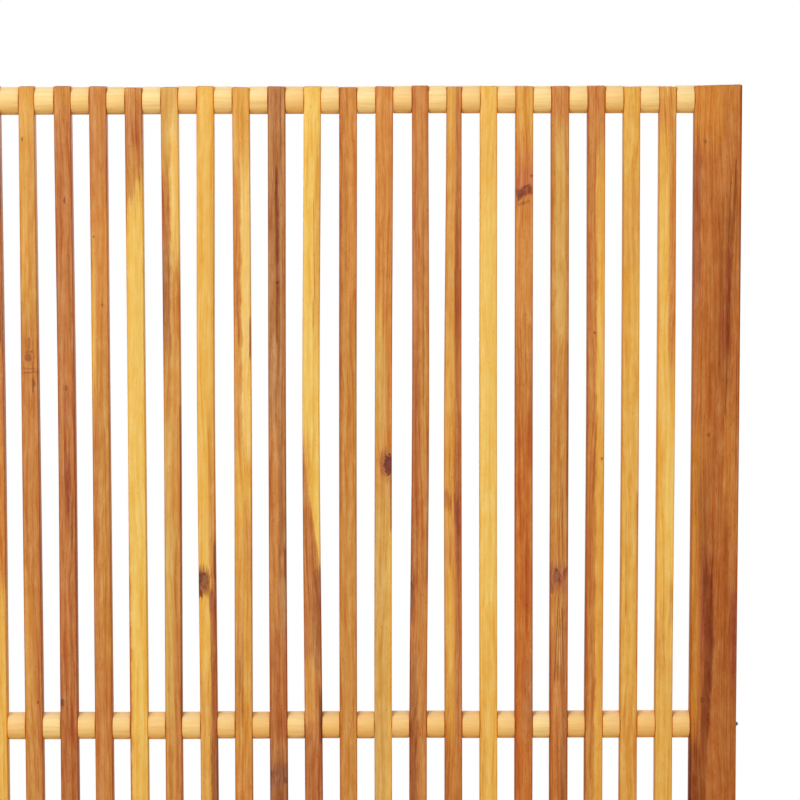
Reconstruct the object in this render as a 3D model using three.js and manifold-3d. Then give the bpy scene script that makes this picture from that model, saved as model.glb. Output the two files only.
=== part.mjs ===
// Garden privacy screen: a flat panel of upright hardwood slats between two wider end boards.
// Short round spacers sit between the slats in level rows. A steel tie rod runs through each
// row, from the outer edge of one end board to the outer edge of the other, and a washer and
// nut sunk into each outer edge clamp the row together.
//
// Millimetres, +Z up, +X to the right, the front faces -Y.
// The origin is on the ground, under the middle of the panel's width and thickness.

import * as THREE from 'three';
import { mergeVertices } from 'three/addons/utils/BufferGeometryUtils.js';
import Module from 'manifold-3d';

const wasm = await Module();
wasm.setup();

// ---- Driving dimensions ----

// Clearance between pieces that touch, and around what passes through a hole.
const contactGap = 0.3;

// Slats and end boards stand on the ground and are all as tall as the panel.
const panelHeight = 1800;
const slatCount = 24;
const slatWidth = 17;
const slatDepth = 22;
const slatChamfer = 1.2;
const boardWidth = 44.5;
const boardDepth = 22;
const boardChamfer = 1.5;

// Rows of spacers, level and evenly spread over the height.
const rowCount = 4;
const rowRecess = 0.5; // from the ends of the slats to the round of the outermost rows
const spacerDiameter = 26;
const spacerLength = 15.5;
const spigotWall = 1.8; // the sleeve that carries the spacers through the slats

// Tie rods, with a washer and a nut at each end.
const rodDiameter = 4;
const rodTipChamfer = 0.8;
const rodTail = 2.8; // of the rod beyond its nuts
const rodSlip = 2.5; // how far a middle rod sits off centre, so that one tip shows
const nutWall = 1.2;
const nutHeight = 3.2;
const washerRim = 2.2;
const washerThickness = 0.8;
const pocketClearance = 1.2; // around the washer in its round pocket
const pocketLip = 0.5; // from the tip of a centred rod out to the edge of the board

// Facets of the round pieces.
const spacerSides = 16;
const holeSides = 8;
const pocketSides = 16;

// ---- Sizes worked out from them ----

const slatGap = spacerLength + 2 * contactGap;
const slatPitch = slatWidth + slatGap;
const panelWidth = 2 * boardWidth + slatCount * slatWidth + (slatCount + 1) * slatGap;

const rowEdge = rowRecess + spacerDiameter / 2;
const rowPitch = (panelHeight - 2 * rowEdge) / (rowCount - 1);

const rodHoleDiameter = rodDiameter + 2 * contactGap;
const spigotDiameter = rodHoleDiameter + 2 * spigotWall;
const slatHoleDiameter = spigotDiameter + 2 * contactGap;

const nutAcrossFlats = rodHoleDiameter + 2 * nutWall;
const washerDiameter = rodHoleDiameter + 2 * washerRim;
const pocketDiameter = washerDiameter + 2 * pocketClearance;
const washerSeat = contactGap + washerThickness; // from the pocket's floor to the washer's face
const nutSeat = washerSeat + contactGap + nutHeight; // from the pocket's floor to the nut's face
const pocketDepth = nutSeat + rodTail + pocketLip;
const rodLength = panelWidth - 2 * pocketLip;

// ---- Geometry helpers ----

// A closed three.js geometry as a solid that can be cut and joined.
function toSolid(geometry) {
  const bare = geometry.clone();
  bare.deleteAttribute('normal');
  bare.deleteAttribute('uv');
  const merged = mergeVertices(bare);
  const mesh = new wasm.Mesh({
    numProp: 3,
    vertProperties: new Float32Array(merged.attributes.position.array),
    triVerts: new Uint32Array(merged.index.array),
  });
  return new wasm.Manifold(mesh);
}

function toGeometry(solid) {
  const mesh = solid.getMesh();
  const geometry = new THREE.BufferGeometry();
  geometry.setAttribute('position', new THREE.BufferAttribute(mesh.vertProperties, 3));
  geometry.setIndex(new THREE.BufferAttribute(mesh.triVerts, 1));
  geometry.computeVertexNormals();
  return geometry;
}

// A cylinder that lies along X, with its middle at the given place.
function barAlongX(diameter, length, sides, x = 0, z = 0) {
  const bar = new THREE.CylinderGeometry(diameter / 2, diameter / 2, length, sides);
  bar.rotateZ(Math.PI / 2);
  bar.translate(x, 0, z);
  return bar;
}

// An upright stave that stands on z = 0, with all of its edges chamfered.
function staveGeometry(width, depth, height, chamfer) {
  const right = width / 2;
  const back = depth / 2;
  const section = new THREE.Shape();
  section.moveTo(-right + chamfer, -back);
  section.lineTo(right - chamfer, -back);
  section.lineTo(right, -back + chamfer);
  section.lineTo(right, back - chamfer);
  section.lineTo(right - chamfer, back);
  section.lineTo(-right + chamfer, back);
  section.lineTo(-right, back - chamfer);
  section.lineTo(-right, -back + chamfer);
  section.closePath();
  const stave = new THREE.ExtrudeGeometry(section, {
    depth: height - 2 * chamfer,
    bevelEnabled: true,
    bevelThickness: chamfer,
    bevelSize: chamfer,
    bevelOffset: -chamfer,
    bevelSegments: 1,
  });
  stave.translate(0, 0, chamfer);
  return stave;
}

// ---- Places ----

// Height of a row's centre line. Row 0 is the top row.
function rowHeight(row) {
  return panelHeight - rowEdge - row * rowPitch;
}

// Middle of a slat across the panel. Slat 0 is the leftmost.
function slatMiddle(index) {
  return -panelWidth / 2 + boardWidth + slatGap + slatWidth / 2 + index * slatPitch;
}

// Middle of the gap before a slat, which holds one spacer of each row.
function gapMiddle(index) {
  return slatMiddle(index) - slatWidth / 2 - slatGap / 2;
}

// Middle of an end board. The side is -1 for the left one and 1 for the right one.
function boardMiddle(side) {
  return side * (panelWidth / 2 - boardWidth / 2);
}

// The floor of the nut pocket in an end board's outer edge.
function pocketFloor(side) {
  return side * (panelWidth / 2 - pocketDepth);
}

// The rods of the middle rows sit a little off centre, in turn to the right and to the left.
function rodOffset(row) {
  const isOuterRow = row === 0 || row === rowCount - 1;
  if (isOuterRow) {
    return 0;
  }
  return row % 2 === 1 ? rodSlip : -rodSlip;
}

// ---- Pieces ----

// A slat with a round hole across it for the sleeve of each row.
function makeSlat() {
  let slat = toSolid(staveGeometry(slatWidth, slatDepth, panelHeight, slatChamfer));
  for (let row = 0; row < rowCount; row += 1) {
    const hole = barAlongX(slatHoleDiameter, 2 * slatWidth, holeSides, 0, rowHeight(row));
    slat = slat.subtract(toSolid(hole));
  }
  return toGeometry(slat);
}

// An end board, bored across its whole width for each rod, with a pocket in the outer edge.
function makeBoard(side) {
  let board = toSolid(staveGeometry(boardWidth, boardDepth, panelHeight, boardChamfer));
  const pocketMiddle = side * (boardWidth / 2);
  for (let row = 0; row < rowCount; row += 1) {
    const z = rowHeight(row);
    const bore = barAlongX(rodHoleDiameter, 2 * boardWidth, holeSides, 0, z);
    const pocket = barAlongX(pocketDiameter, 2 * pocketDepth, pocketSides, pocketMiddle, z);
    board = board.subtract(toSolid(bore));
    board = board.subtract(toSolid(pocket));
  }
  return toGeometry(board);
}

// One row of round spacers, joined through the holes of the slats by a thin sleeve.
function makeSpacerRow() {
  const firstGap = gapMiddle(0);
  const lastGap = gapMiddle(slatCount);
  const sleeveLength = lastGap - firstGap + spacerLength;
  let rowSolid = toSolid(barAlongX(spigotDiameter, sleeveLength, holeSides));
  for (let gap = 0; gap <= slatCount; gap += 1) {
    const spacer = barAlongX(spacerDiameter, spacerLength, spacerSides, gapMiddle(gap));
    rowSolid = rowSolid.add(toSolid(spacer));
  }
  const bore = barAlongX(rodHoleDiameter, 2 * sleeveLength, holeSides);
  return toGeometry(rowSolid.subtract(toSolid(bore)));
}

// A round steel rod with a small chamfer at both tips.
function makeRod() {
  const radius = rodDiameter / 2;
  const half = rodLength / 2;
  const profile = [
    new THREE.Vector2(0, -half),
    new THREE.Vector2(radius - rodTipChamfer, -half),
    new THREE.Vector2(radius, -half + rodTipChamfer),
    new THREE.Vector2(radius, half - rodTipChamfer),
    new THREE.Vector2(radius - rodTipChamfer, half),
    new THREE.Vector2(0, half),
  ];
  const rod = new THREE.LatheGeometry(profile, holeSides);
  rod.rotateZ(Math.PI / 2);
  return rod;
}

function makeWasher() {
  const disc = toSolid(barAlongX(washerDiameter, washerThickness, pocketSides));
  const hole = toSolid(barAlongX(rodHoleDiameter, 2 * washerThickness, holeSides));
  return toGeometry(disc.subtract(hole));
}

function makeNut() {
  const acrossCorners = nutAcrossFlats / Math.cos(Math.PI / 6);
  const hexagon = toSolid(barAlongX(acrossCorners, nutHeight, 6));
  const hole = toSolid(barAlongX(rodHoleDiameter, 2 * nutHeight, holeSides));
  return toGeometry(hexagon.subtract(hole));
}

// ---- Finishes ----

function wood(colour) {
  return new THREE.MeshStandardMaterial({ color: colour, roughness: 0.55, metalness: 0 });
}

function steel(colour) {
  return new THREE.MeshStandardMaterial({ color: colour, roughness: 0.4, metalness: 1 });
}

// The slats vary from pale yellow to dark brown, as they do within one species of timber.
const slatColours = ['#d79141', '#c37341', '#b97a3c', '#f0c355', '#c87a3c', '#e6af41', '#a56941'];
const boardColour = '#b96937';
const spacerColour = '#f5c987';
const rodColour = '#8c8c88';

// ---- Assembly ----

const screen = new THREE.Group();

function place(name, geometry, material, x, z) {
  const mesh = new THREE.Mesh(geometry, material);
  mesh.name = name;
  mesh.position.set(x, 0, z);
  screen.add(mesh);
}

const slatGeometry = makeSlat();
for (let index = 0; index < slatCount; index += 1) {
  const label = String(index + 1).padStart(2, '0');
  const colour = slatColours[(index * 3) % slatColours.length];
  place(`slat_${label}`, slatGeometry, wood(colour), slatMiddle(index), 0);
}

const sides = { left: -1, right: 1 };
for (const [word, side] of Object.entries(sides)) {
  place(`end_board_${word}`, makeBoard(side), wood(boardColour), boardMiddle(side), 0);
}

const spacerRowGeometry = makeSpacerRow();
const rodGeometry = makeRod();
const washerGeometry = makeWasher();
const nutGeometry = makeNut();
for (let row = 0; row < rowCount; row += 1) {
  const label = row + 1;
  const z = rowHeight(row);
  place(`spacer_row_${label}`, spacerRowGeometry, wood(spacerColour), 0, z);
  place(`tie_rod_${label}`, rodGeometry, steel(rodColour), rodOffset(row), z);
  for (const [word, side] of Object.entries(sides)) {
    const washerMiddle = pocketFloor(side) + side * (washerSeat - washerThickness / 2);
    const nutMiddle = pocketFloor(side) + side * (nutSeat - nutHeight / 2);
    place(`washer_${word}_${label}`, washerGeometry, steel(rodColour), washerMiddle, z);
    place(`nut_${word}_${label}`, nutGeometry, steel(rodColour), nutMiddle, z);
  }
}

export default screen;
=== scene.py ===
import math
import random
from functools import partial

import bpy
from mathutils import Matrix, Vector


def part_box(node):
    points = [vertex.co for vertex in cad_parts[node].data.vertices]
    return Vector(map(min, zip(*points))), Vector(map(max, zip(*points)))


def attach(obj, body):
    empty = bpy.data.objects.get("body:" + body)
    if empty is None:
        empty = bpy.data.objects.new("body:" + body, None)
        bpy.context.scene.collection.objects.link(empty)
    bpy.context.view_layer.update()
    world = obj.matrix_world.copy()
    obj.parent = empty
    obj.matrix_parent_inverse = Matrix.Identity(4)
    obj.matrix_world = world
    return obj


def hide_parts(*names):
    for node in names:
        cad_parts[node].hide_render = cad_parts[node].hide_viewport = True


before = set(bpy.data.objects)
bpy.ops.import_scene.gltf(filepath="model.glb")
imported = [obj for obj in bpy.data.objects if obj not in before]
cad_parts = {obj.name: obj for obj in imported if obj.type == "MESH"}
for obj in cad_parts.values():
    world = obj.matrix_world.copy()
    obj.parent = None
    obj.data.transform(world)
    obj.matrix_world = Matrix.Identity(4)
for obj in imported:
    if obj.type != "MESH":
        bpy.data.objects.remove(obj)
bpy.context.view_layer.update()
mm = 0.001
chance = random.Random(24)
slatCount = 24
rowCount = 4


def middleOf(nodeName):
    low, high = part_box(nodeName)
    return (low + high) / 2


rowHeights = [middleOf(f"tie_rod_{row + 1}").z for row in range(rowCount)]  # first row at the top
slatMiddles = [middleOf(f"slat_{index + 1:02d}").x for index in range(slatCount)]
slatPitch = slatMiddles[1] - slatMiddles[0]
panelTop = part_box("slat_01")[1].z
cageLevels = 2 * rowCount - 1  # one at each row and one midway between rows
rowLevels = range(cageLevels - 1, -1, -2)  # the level of each row, from the top
lowerLevels = cageLevels - 3  # those below the second row, which the tables of looks don't give


def linear(hexColour):
    # an sRGB hex value as the linear colour that a socket takes
    parts = [int(hexColour[at:at + 2], 16) / 255 for at in (1, 3, 5)]
    return [p / 12.92 if p <= 0.04045 else ((p + 0.055) / 1.055) ** 2.4 for p in parts] + [1]


def addNode(tree, kind, inputs=(), **settings):
    # the inputs come by name or in order, each a value, a socket, or a node for its first output
    node = tree.nodes.new("ShaderNode" + kind)
    for name, value in settings.items():
        setattr(node, name, value)
    for name, value in (inputs.items() if isinstance(inputs, dict) else enumerate(inputs)):
        if isinstance(value, bpy.types.Node):
            value = value.outputs[0]
        if isinstance(value, bpy.types.NodeSocket):
            tree.links.new(value, node.inputs[name])
        else:
            node.inputs[name].default_value = value
    return node


def startMaterial(name):
    # a new material, its tree, what adds a node to that, and its shader
    material = bpy.data.materials.new(name)
    material.use_nodes = True
    tree = material.node_tree
    return material, tree, partial(addNode, tree), tree.nodes["Principled BSDF"]


def finishMaterial(tree, shader, finish, colour, pattern, height=None):
    # the colour, a roughness that follows the pattern, and a relief
    add = partial(addNode, tree)
    uneven = finish["unevenShine"]
    rough = add("Math", [pattern, uneven, finish["roughness"] - uneven / 2], operation="MULTIPLY_ADD")
    tree.links.new(colour, shader.inputs["Base Color"])
    tree.links.new(rough.outputs[0], shader.inputs["Roughness"])
    if height:
        bump = add("Bump", {"Height": height, "Strength": finish["bump"], "Distance": finish["relief"]})
        tree.links.new(bump.outputs[0], shader.inputs["Normal"])


def startGroup(name, inputs, outputs):
    tree = bpy.data.node_groups.new(name, "ShaderNodeTree")
    for direction, sockets in dict(INPUT=inputs, OUTPUT=outputs).items():
        for label, kind in sockets.items():
            tree.interface.new_socket(name=label, in_out=direction, socket_type="NodeSocket" + kind)
    given = tree.nodes.new("NodeGroupInput").outputs
    result = tree.nodes.new("NodeGroupOutput").inputs
    return tree, partial(addNode, tree), given, result


# The tones that oiled acacia takes, from sapwood to heartwood.
woodTones = dict(
    cream="#F2C46C", straw="#EFBF5A", amber="#EAB24E", gold="#E2A746", honey="#DB9C42",
    marigold="#E09C38", ochre="#D6A04E", tan="#D59242", orange="#CF8438", toffee="#C98538",
    clay="#C57B37", ginger="#C0742C", rust="#C07538", walnut="#B87C44", redwood="#B66A30",
    ember="#C0691F", sienna="#B0663A", umber="#A9642E", brick="#A2502C", chestnut="#9C5828",
    bark="#8A4520", mahogany="#7E3812", heart="#5A2010",
    salmon="#CB7C4A", cocoa="#8E5638", plum="#6C2A26",
)

# The figure of a piece whose grain runs along Z, in millimetres.
grainFigure = dict(
    seedStep=(17.3, 5.1, 91.7),    # from the figure of one piece to that of the next
    swayOver=(50, 50, 170),        # the lengths over which the grain sways
    swayBy=(14, 14, 40),           # and how far
    layers=dict(                   # size across, size along, octaves
        Bands=(3.6, 200, 3),
        Lines=(1.0, 34, 4),
        Flecks=(0.8, 5, 2),
        Mottle=(6, 20, 4),
    ),
    layerRoughness=0.6,
    swayOctaves=1.5,
    ringSlant=0.55,                # how the growth rings slope through the piece
    ringWander=11,
    ringSharpness=3.0,
)


def makeGrainGroup():
    tree, add, given, result = startGroup(
        "grain of a long piece",
        dict(Place="Vector", Seed="Float", RingWidth="Float"),
        dict(Bands="Float", Lines="Float", Flecks="Float", Mottle="Float", Rings="Float"))
    shift = add("VectorMath", {0: grainFigure["seedStep"], "Scale": given["Seed"]}, operation="SCALE")
    moved = add("VectorMath", [given["Place"], shift], operation="ADD")
    slow = add("VectorMath", [moved, [1 / size for size in grainFigure["swayOver"]]], operation="MULTIPLY")
    sway = add("TexNoise", {"Vector": slow, "Scale": 1.0, "Detail": grainFigure["swayOctaves"]})
    centred = add("VectorMath", [sway.outputs["Color"], (0.5, 0.5, 0.5)], operation="SUBTRACT")
    bend = add("VectorMath", [centred, grainFigure["swayBy"]], operation="MULTIPLY")
    swayed = add("VectorMath", [moved, bend], operation="ADD")
    noises = {}
    for label, (across, along, octaves) in grainFigure["layers"].items():
        scaled = add("VectorMath", [swayed, (1 / across, 1 / across, 1 / along)], operation="MULTIPLY")
        noises[label] = add("TexNoise", {"Vector": scaled, "Scale": 1.0, "Detail": octaves,
                                         "Roughness": grainFigure["layerRoughness"]}).outputs["Fac"]
        tree.links.new(noises[label], result[label])
    # growth rings: each darkens slowly and ends sharply
    parts = add("SeparateXYZ", [swayed]).outputs
    slant = add("Math", [parts["Y"], grainFigure["ringSlant"], parts["X"]], operation="MULTIPLY_ADD")
    uneven = add("Math", [noises["Bands"], grainFigure["ringWander"], slant], operation="MULTIPLY_ADD")
    count = add("Math", [uneven, given["RingWidth"]], operation="DIVIDE")
    ring = add("Math", [count], operation="FRACT")
    late = add("Math", [ring, grainFigure["ringSharpness"]], operation="POWER")
    tree.links.new(late.outputs[0], result["Rings"])
    return tree


def makeStretchGroup():
    # mixes in another tone over a stretch of the piece, with soft sides and ends
    numbers = ("Left", "Right", "Low", "High", "Lean", "Tilt", "Edge", "Fade", "Strength")
    tree, add, given, result = startGroup(
        "tone over a stretch",
        dict(Colour="Color", Tone="Color", Place="Vector", **dict.fromkeys(numbers, "Float")),
        dict(Colour="Color"))
    parts = add("SeparateXYZ", [given["Place"]]).outputs
    rise = add("Math", [parts["Z"], given["Low"]], operation="SUBTRACT")
    drift = add("Math", [rise, given["Lean"]], operation="MULTIPLY")
    across = add("Math", [parts["X"], drift], operation="SUBTRACT")
    climb = add("Math", [parts["X"], given["Tilt"]], operation="MULTIPLY")
    level = add("Math", [parts["Z"], climb], operation="SUBTRACT")
    mask = given["Strength"]
    sides = ((across, "Left", "Edge", 0, 1), (across, "Right", "Edge", 1, 0),
             (level, "Low", "Fade", 0, 1), (level, "High", "Fade", 1, 0))
    for value, limit, softness, before, after in sides:
        start = add("Math", [given[limit], given[softness]], operation="SUBTRACT")
        stop = add("Math", [given[limit], given[softness]], operation="ADD")
        inside = add("MapRange", [value, start, stop, before, after], interpolation_type="SMOOTHSTEP")
        mask = add("Math", [inside, mask], operation="MULTIPLY")
    mixed = add("Mix", {0: mask, 6: given["Colour"], 7: given["Tone"]}, data_type="RGBA")
    tree.links.new(mixed.outputs[2], result["Colour"])
    return tree


# A knot. Each of its parts starts and stops at so many half widths from its middle.
knotForm = dict(
    ragged=1.5,            # how far its outline strays
    raggedScale=0.35,      # how fine that is
    eye=(0.6, 1.2),
    rimIn=(0.5, 0.85),
    rimOut=(0.85, 1.25),
    halo=(0.9, 2.4),
    rings=15,              # how close the rings in the halo are
    betweenRings=0.3,      # how strong the halo stays between them
    eyeRings=(0.3, 0.75),  # how much the rings add to the eye, and the eye without them
    push=1.6,              # mm that the grain is pushed aside
)


def makeKnotGroup():
    # a ragged eye, its dark rim, and thin rings in a warm halo, with the grain pushed round it
    tree, add, given, result = startGroup(
        "knot",
        dict(Place="Vector", Across="Float", Height="Float", Wide="Float", Tall="Float"),
        dict(Place="Vector", Eye="Float", Rim="Float", Halo="Float"))
    parts = add("SeparateXYZ", [given["Place"]]).outputs
    offX = add("Math", [parts["X"], given["Across"]], operation="SUBTRACT")
    offZ = add("Math", [parts["Z"], given["Height"]], operation="SUBTRACT")
    spanX = add("Math", [offX, given["Wide"]], operation="DIVIDE")
    spanZ = add("Math", [offZ, given["Tall"]], operation="DIVIDE")
    flat = add("CombineXYZ", {"X": spanX, "Z": spanZ})
    length = add("VectorMath", [flat], operation="LENGTH").outputs["Value"]
    ragged = add("TexNoise", {"Vector": given["Place"], "Scale": knotForm["raggedScale"], "Detail": 3})
    strayed = add("Math", [ragged, knotForm["ragged"], length], operation="MULTIPLY_ADD")
    distance = add("Math", [strayed, knotForm["ragged"] / 2], operation="SUBTRACT")
    steps = {}
    for label, before, after in (("eye", 1, 0), ("rimIn", 0, 1), ("rimOut", 1, 0), ("halo", 1, 0)):
        steps[label] = add("MapRange", [distance, *knotForm[label], before, after],
                           interpolation_type="SMOOTHSTEP")
    rim = add("Math", [steps["rimIn"], steps["rimOut"]], operation="MULTIPLY")
    wave = add("Math", [distance, knotForm["rings"]], operation="MULTIPLY")
    ring = add("Math", [wave], operation="SINE")
    thin = add("MapRange", [ring, 0.0, 1.0, knotForm["betweenRings"], 1.0], interpolation_type="SMOOTHSTEP")
    halo = add("Math", [steps["halo"], thin], operation="MULTIPLY")
    ringed = add("Math", [thin, *knotForm["eyeRings"]], operation="MULTIPLY_ADD")
    eye = add("Math", [steps["eye"], ringed], operation="MULTIPLY", use_clamp=True)
    push = add("Math", [steps["halo"], spanX], operation="MULTIPLY")
    pushed = add("Math", [push, -knotForm["push"]], operation="MULTIPLY")
    shift = add("CombineXYZ", {"X": pushed})
    bent = add("VectorMath", [given["Place"], shift], operation="ADD")
    for label, node in dict(Place=bent, Eye=eye, Rim=rim, Halo=halo).items():
        tree.links.new(node.outputs[0], result[label])
    return tree


grainGroup = makeGrainGroup()
stretchGroup = makeStretchGroup()
knotGroup = makeKnotGroup()

# Oiled acacia, planed and lightly sanded: satin, with open pores and a soft grain relief.
# The depths, down to endGrain, say how much darker and more saturated each part of the figure is, with
# edges giving the painted edge shade.
oiledWood = dict(
    bands=0.40,
    lines=0.46,
    mottle=0.66,
    flecks=0.45,
    rings=0.22,
    overall=-0.12,
    edges=0.42,
    endGrain=0.3,
    endDulled=0.5,         # how far the sawn ends have greyed towards brown
    endSlope=(0.6, 0.95),  # how level a face lies where it starts to be a sawn end, and is one
    bandRange=(0.46, 0.74),
    fleckRange=(0.62, 0.74),
    edgeWidth=1.4,         # mm of painted shade along the eased edges
    ringWidth=5.5,         # mm
    strayAcross=5,         # mm that the limits of a stretch of tone stray with the grain
    strayAlong=110,
    haloTone="chestnut", haloDepth=0.6,
    rimTone="heart", rimDepth=0.9,
    rimBreaks=(0.4, 0.6, 0.25),  # mottling from which a rim breaks up and is whole, and what is left
    eyeTone="bark", eyeDepth=0.9,
    ior=1.47,              # of the oil
    roughness=0.5,
    unevenShine=0.3,       # how much the roughness follows the grain
    gloss=0.3,
    bump=0.5,
    relief=0.2 * mm,
)
# How soft a stretch of tone is at its sides and ends, in mm, how strong it is, and its share of straying.
stretchKinds = dict(
    area=dict(edge=1.4, fade=34, strength=1.0, stray=1.0),
    streak=dict(edge=0.5, fade=5, strength=0.85, stray=0.25),
    mark=dict(edge=0.5, fade=1.2, strength=0.85, stray=0.05),
)
markLength = 15  # mm, below which a streak is a mark


def layTones(add, look, place, grain):
    # the ground tone of a piece, and each stretch of another tone over it
    along = add("Math", [grain["Lines"], oiledWood["strayAlong"], -oiledWood["strayAlong"] / 2],
                operation="MULTIPLY_ADD")
    across = add("Math", [grain["Mottle"], oiledWood["strayAcross"], -oiledWood["strayAcross"] / 2],
                 operation="MULTIPLY_ADD")
    stray = add("CombineXYZ", {"X": across, "Z": along})
    places = {}
    for kind, form in stretchKinds.items():
        share = add("VectorMath", {0: stray, "Scale": form["stray"]}, operation="SCALE")
        places[kind] = add("VectorMath", [place, share], operation="ADD")
    stretches = [("area", area) for area in look.get("areas", [])]
    for streak in look.get("streaks", []):
        stretches.append(("mark" if streak[4] - streak[3] < markLength else "streak", streak))
    colour = linear(woodTones[look["tone"]])
    for kind, (tone, left, right, low, high, *slopes) in stretches:
        form = stretchKinds[kind]
        lean, tilt = (*slopes, 0.0, 0.0)[:2]
        values = {"Colour": colour, "Tone": linear(woodTones[tone]), "Place": places[kind],
                  "Left": left, "Right": right, "Low": low, "High": high, "Lean": lean, "Tilt": tilt,
                  "Edge": form["edge"], "Fade": min(form["fade"], (high - low) / 3),
                  "Strength": form["strength"]}
        colour = add("Group", values, node_tree=stretchGroup)
    return colour


def makeWood(name, look, shape, seed, placeName=None, centre=0.0):
    # one piece's wood: its tones over stretches, then the figure, painted shade along the edges, and knots
    material, tree, add, shader = startMaterial(name)
    if placeName:  # the piece's own place before it was bent, so the pattern follows the piece
        raw = add("Attribute", attribute_name=placeName).outputs["Vector"]
    else:
        raw = add("TexCoord").outputs["Object"]
    place = add("Mapping", {"Vector": raw, "Location": (-centre / mm, 0, 0), "Scale": (1 / mm,) * 3})
    parts = add("SeparateXYZ", [place]).outputs
    knots = []
    for across, height, wide, tall, *rest in look.get("knots", []):
        spot = {"Place": place, "Across": across, "Height": height, "Wide": wide, "Tall": tall}
        knot = add("Group", spot, node_tree=knotGroup).outputs
        place = knot["Place"]
        knots.append((knot, rest or (oiledWood["eyeDepth"], oiledWood["eyeTone"])))
    ringWidth = look.get("ringWidth", oiledWood["ringWidth"])
    grain = add("Group", {"Place": place, "Seed": seed, "RingWidth": ringWidth},
                node_tree=grainGroup).outputs
    colour = layTones(add, look, place, grain)

    # how far each part of the figure deepens the tone
    bands = add("MapRange", [grain["Bands"], *oiledWood["bandRange"], 0, oiledWood["bands"]],
                interpolation_type="SMOOTHSTEP")
    flecks = add("MapRange", [grain["Flecks"], *oiledWood["fleckRange"], 0, oiledWood["flecks"]],
                 interpolation_type="SMOOTHSTEP")
    # painted shade: the front and back faces are painted darker along their eased side edges
    margin = oiledWood["edgeWidth"]
    halfWidth = shape["width"] / mm / 2
    halfDepth = shape["depth"] / mm / 2
    sideways = add("Math", [parts["X"]], operation="ABSOLUTE")
    forwards = add("Math", [parts["Y"]], operation="ABSOLUTE")
    outermost = 0.2  # mm from the side, where the edge is darkest
    atSide = add("MapRange", [sideways, halfWidth - margin, halfWidth - outermost],
                 interpolation_type="SMOOTHSTEP")
    atFront = add("MapRange", [forwards, halfDepth - 2 * margin, halfDepth - margin],
                  interpolation_type="SMOOTHSTEP")
    paintedEdgeShade = add("Math", [atSide, atFront], operation="MULTIPLY")
    facing = add("NewGeometry").outputs["Normal"]
    upright = add("SeparateXYZ", [facing]).outputs["Z"]
    steep = add("Math", [upright], operation="ABSOLUTE")
    atEnd = add("MapRange", [steep, *oiledWood["endSlope"]])
    endRings = add("Math", [atEnd, grain["Rings"]], operation="MULTIPLY")
    calm = look.get("calm", 1)
    lines = oiledWood["lines"] * calm
    depth = 1 + (lines + oiledWood["mottle"]) / 2 + oiledWood["overall"] + look.get("rich", 0)
    for amount, factor in ((bands, calm), (flecks, 1), (grain["Lines"], -lines),
                           (grain["Mottle"], -oiledWood["mottle"]), (grain["Rings"], oiledWood["rings"]),
                           (endRings, 2 * oiledWood["rings"]), (paintedEdgeShade, oiledWood["edges"]),
                           (atEnd, oiledWood["endGrain"])):
        depth = add("Math", [amount, factor, depth], operation="MULTIPLY_ADD")
    deepened = add("Gamma", [colour, depth])
    dulled = add("Math", [atEnd, oiledWood["endDulled"]], operation="MULTIPLY")
    colour = add("Mix", {0: dulled, 6: deepened, 7: linear(woodTones["cocoa"])},
                 data_type="RGBA").outputs[2]

    # each knot's halo, eye and rim, with the rim broken up by the mottling
    broken = add("MapRange", [grain["Mottle"], *oiledWood["rimBreaks"]], interpolation_type="SMOOTHSTEP")
    for knot, (strength, eyeTone) in knots:
        patchyRim = add("Math", [knot["Rim"], broken], operation="MULTIPLY")
        for mask, share, tone in ((knot["Halo"], oiledWood["haloDepth"], oiledWood["haloTone"]),
                                  (knot["Eye"], 1.0, eyeTone),
                                  (patchyRim, oiledWood["rimDepth"], oiledWood["rimTone"])):
            amount = add("Math", [mask, share * strength], operation="MULTIPLY")
            colour = add("Mix", {0: amount, 6: colour, 7: linear(woodTones[tone])},
                         data_type="RGBA").outputs[2]
    height = add("Math", [grain["Lines"], flecks], operation="SUBTRACT")
    finishMaterial(tree, shader, oiledWood, colour, grain["Lines"], height)
    shader.inputs["IOR"].default_value = oiledWood["ior"]
    shader.inputs["Specular IOR Level"].default_value = look.get("gloss", oiledWood["gloss"])
    return material


def clearSelection():
    bpy.ops.object.select_all(action="DESELECT")


def pickOnly(piece):
    clearSelection()
    piece.select_set(True)
    bpy.context.view_layer.objects.active = piece


def startEdit(kind, action="DESELECT"):
    # edit mode for points, edges or faces, with none or all of them picked
    bpy.ops.object.mode_set(mode="EDIT")
    bpy.ops.mesh.select_mode(type=kind)
    bpy.ops.mesh.select_all(action=action)


def endEdit():
    bpy.ops.object.mode_set(mode="OBJECT")


def pickPoints(piece, wanted):
    # edit mode with only the wanted points picked, by their place
    pickOnly(piece)
    startEdit("VERT")
    endEdit()
    for point in piece.data.vertices:
        point.select = wanted(point.co)
    bpy.ops.object.mode_set(mode="EDIT")


def copyOf(piece, name):
    twin = piece.copy()
    twin.data = piece.data.copy()
    twin.name = name
    twin.data.name = name
    bpy.context.collection.objects.link(twin)
    return twin


def remove(piece):
    bpy.data.objects.remove(piece, do_unlink=True)


def addStave(name, shape):
    # an upright stave with eased edges, cut across at even heights so that it can bow
    clearSelection()
    bpy.ops.mesh.primitive_cube_add(size=1, location=(0, 0, panelTop / 2))
    stave = bpy.context.object
    stave.name = name
    stave.scale = (shape["width"], shape["depth"], panelTop)
    bpy.ops.object.transform_apply(location=True, rotation=False, scale=True)
    startEdit("EDGE", "SELECT")
    bpy.ops.mesh.bevel(offset=shape["eased"], segments=3, affect="EDGES")
    for cut in range(1, shape["cuts"]):
        bpy.ops.mesh.select_all(action="SELECT")
        bpy.ops.mesh.bisect(plane_co=(0, 0, panelTop * cut / shape["cuts"]), plane_no=(0, 0, 1))
    endEdit()
    return stave


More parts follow.
